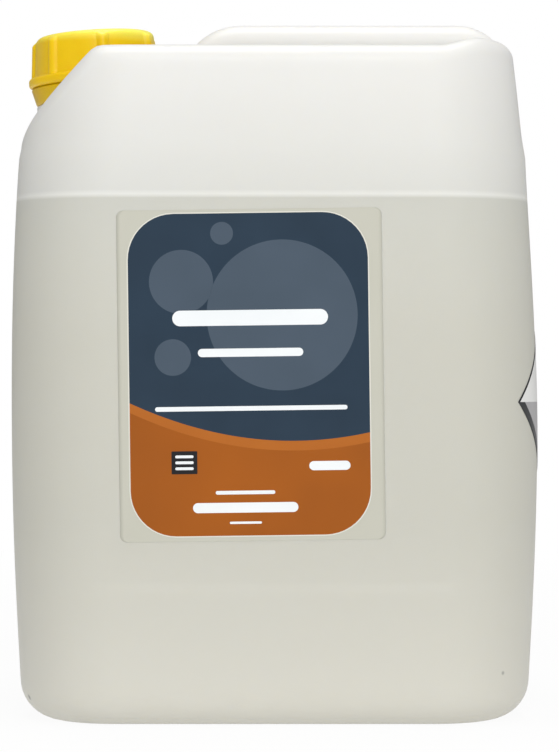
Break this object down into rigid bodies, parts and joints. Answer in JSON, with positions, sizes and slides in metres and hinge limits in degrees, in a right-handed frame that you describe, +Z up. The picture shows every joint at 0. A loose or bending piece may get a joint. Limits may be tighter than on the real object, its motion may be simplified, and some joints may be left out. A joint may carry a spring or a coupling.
{
  "type": "detergent jerrycan",
  "caption": "Upright blow-moulded plastic canister with a top carrying handle, leaning corner neck, ribbed screw cap, front label and end sticker, part filled with liquid.",
  "frame": {"origin": "middle of the footprint on the floor; centre of the bottom face of the bounding box", "axes": "+Z up, -Y towards the label, +X towards the end wall with the sticker, so the neck is at -X"},
  "size_m": [0.2371, 0.195, 0.3179],
  "materials": {
    "can_plastic": "translucent natural polyethylene, satin",
    "liquid": "pale liquid",
    "cap_plastic": "yellow polyethylene, slight gloss",
    "liner_foam": "white foamed sealing disc",
    "label_film": "printed clear film, slight gloss",
    "sticker_film": "printed white film"
  },
  "bodies": {
    "can": {"jerrycan": "can_plastic", "detergent": "liquid", "tamper_band": "cap_plastic", "front_label": "label_film", "end_sticker": "sticker_film"},
    "liner": {"cap_liner": "liner_foam"},
    "cap": {"screw_cap": "cap_plastic"}
  },
  "joints": [
    {"name": "cap_lift", "type": "slide", "parent": "can", "child": "liner", "axis": [-0.0663, 0, 0.9978], "range_m": [0, 0.024]},
    {"name": "cap_turn", "type": "hinge", "parent": "liner", "child": "cap", "pos_m": [-0.08424, 0, 0.31022], "axis": [-0.0663, 0, 0.9978], "range_deg": [0, 1440]}
  ],
  "couplings": [
    {"joint": "cap_turn", "follows": "cap_lift", "rad_per_m": 1047.2}
  ]
}
